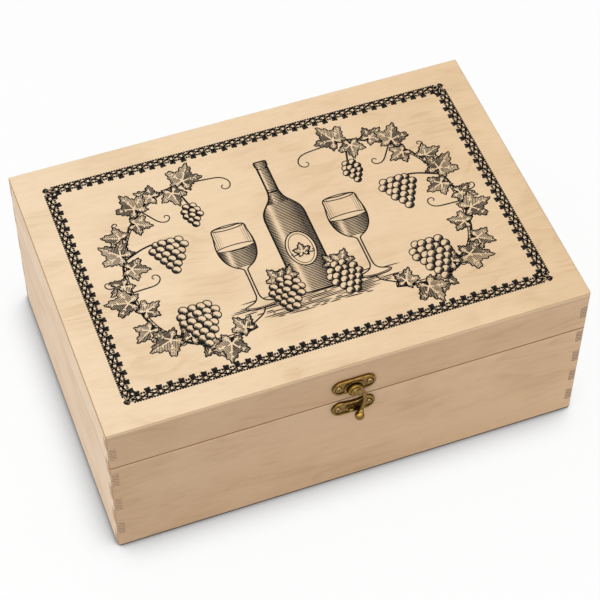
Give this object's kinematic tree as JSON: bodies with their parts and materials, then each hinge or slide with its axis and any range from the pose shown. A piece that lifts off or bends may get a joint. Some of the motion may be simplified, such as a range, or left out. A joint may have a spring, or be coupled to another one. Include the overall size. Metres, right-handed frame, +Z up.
{
  "type": "wooden box",
  "caption": "Wooden keepsake or wine box with finger-jointed corners, a hinged lid on butt hinges at the back and a brass swing-hook latch on the front",
  "frame": {"origin": "middle of the box's underside, on the surface that it stands on", "axes": "+X along the length, to the right as the latch is faced; -Y out of the front, where the latch is; +Z up, towards the lid"},
  "size_m": [0.3, 0.22, 0.117],
  "materials": {
    "wood": "light solid wood, sanded, clear",
    "panel": "light wood panel, sanded, clear",
    "brass": "antique brass, dark in the hollows",
    "screws": "brass-plated steel, worn"
  },
  "bodies": {
    "base": {"base_front_board": "wood", "base_back_board": "wood", "base_left_board": "wood", "base_right_board": "wood", "base_bottom_panel": "panel", "hinge_leaf_base_left": "brass", "hinge_leaf_base_right": "brass", "hinge_pin_left": "brass", "hinge_pin_right": "brass", "hinge_screws_base": "screws", "latch_lower_plate": "brass", "latch_lower_screws": "screws", "catch_stud": "brass"},
    "lid": {"lid_front_board": "wood", "lid_back_board": "wood", "lid_left_board": "wood", "lid_right_board": "wood", "lid_top_panel": "panel", "hinge_leaf_lid_left": "brass", "hinge_leaf_lid_right": "brass", "hinge_screws_lid": "screws", "latch_upper_plate": "brass", "latch_upper_screws": "screws", "latch_rivet": "brass"},
    "hook": {"latch_hook": "brass"}
  },
  "joints": [
    {"name": "lid_hinge", "type": "hinge", "parent": "base", "child": "lid", "pos_m": [0, 0.1052, 0.0831], "axis": [-1, 0, 0], "range_deg": [0, 110]},
    {"name": "latch_swing", "type": "hinge", "parent": "lid", "child": "hook", "pos_m": [-0.0005, -0.1075, 0.0951], "axis": [0, -1, 0], "range_deg": [-8, 120]}
  ]
}
